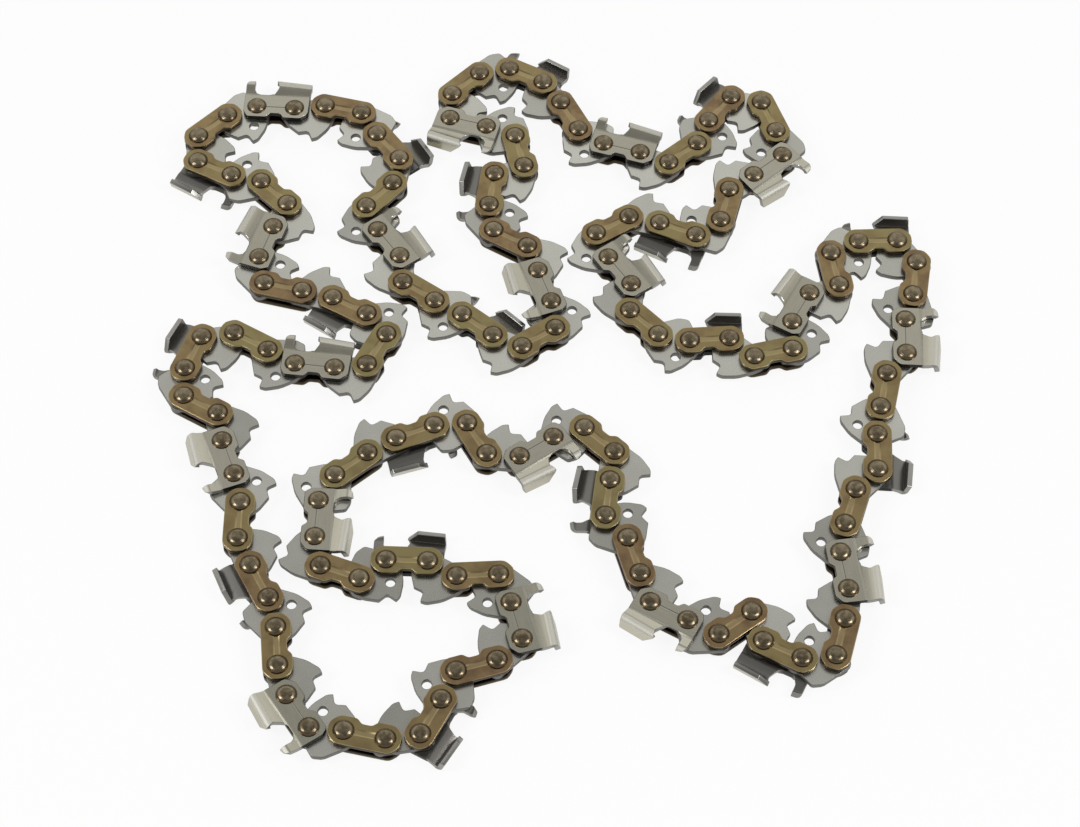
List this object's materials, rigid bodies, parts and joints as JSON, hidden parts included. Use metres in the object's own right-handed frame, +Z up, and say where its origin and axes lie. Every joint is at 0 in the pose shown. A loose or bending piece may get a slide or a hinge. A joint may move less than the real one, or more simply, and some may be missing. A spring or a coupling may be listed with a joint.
{
  "type": "chainsaw chain loop",
  "caption": "Closed saw chain loop lying on its side: riveted drive links with hooked tangs, tie straps, and left and right cutters with depth gauges.",
  "frame": {"origin": "centre of the loop's bounding box, on the surface that the lower rivet heads stand on", "axes": "+Z up, across the chain along the rivets; +X to the right and +Y away from the viewer in the picture"},
  "size_m": [0.1806, 0.191, 0.0059],
  "materials": {
    "cutter_chrome": "satin chrome plate",
    "drive_steel": "satin",
    "strap_bronze": "heat-tinted bronze brown",
    "rivet_steel": "dark hardened steel"
  },
  "bodies": {
    "root": {"drive_links_bumper": "drive_steel", "drive_links_plain": "drive_steel", "left_cutter_01": "cutter_chrome", "left_cutter_02": "cutter_chrome", "left_cutter_03": "cutter_chrome", "left_cutter_04": "cutter_chrome", "left_cutter_05": "cutter_chrome", "left_cutter_06": "cutter_chrome", "left_cutter_07": "cutter_chrome", "left_cutter_08": "cutter_chrome", "left_cutter_09": "cutter_chrome", "left_cutter_10": "cutter_chrome", "left_cutter_11": "cutter_chrome", "left_cutter_12": "cutter_chrome", "left_cutter_13": "cutter_chrome", "left_cutter_14": "cutter_chrome", "left_cutter_15": "cutter_chrome", "left_cutter_16": "cutter_chrome", "left_cutter_17": "cutter_chrome", "left_cutter_18": "cutter_chrome", "right_cutter_01": "cutter_chrome", "right_cutter_02": "cutter_chrome", "right_cutter_03": "cutter_chrome", "right_cutter_04": "cutter_chrome", "right_cutter_05": "cutter_chrome", "right_cutter_06": "cutter_chrome", "right_cutter_07": "cutter_chrome", "right_cutter_08": "cutter_chrome", "right_cutter_09": "cutter_chrome", "right_cutter_10": "cutter_chrome", "right_cutter_11": "cutter_chrome", "right_cutter_12": "cutter_chrome", "right_cutter_13": "cutter_chrome", "right_cutter_14": "cutter_chrome", "right_cutter_15": "cutter_chrome", "right_cutter_16": "cutter_chrome", "right_cutter_17": "cutter_chrome", "right_cutter_18": "cutter_chrome", "rivet_heads_lower": "rivet_steel", "rivet_heads_upper": "rivet_steel", "tie_straps_lower": "strap_bronze", "tie_straps_upper": "strap_bronze"}
  },
  "joints": []
}
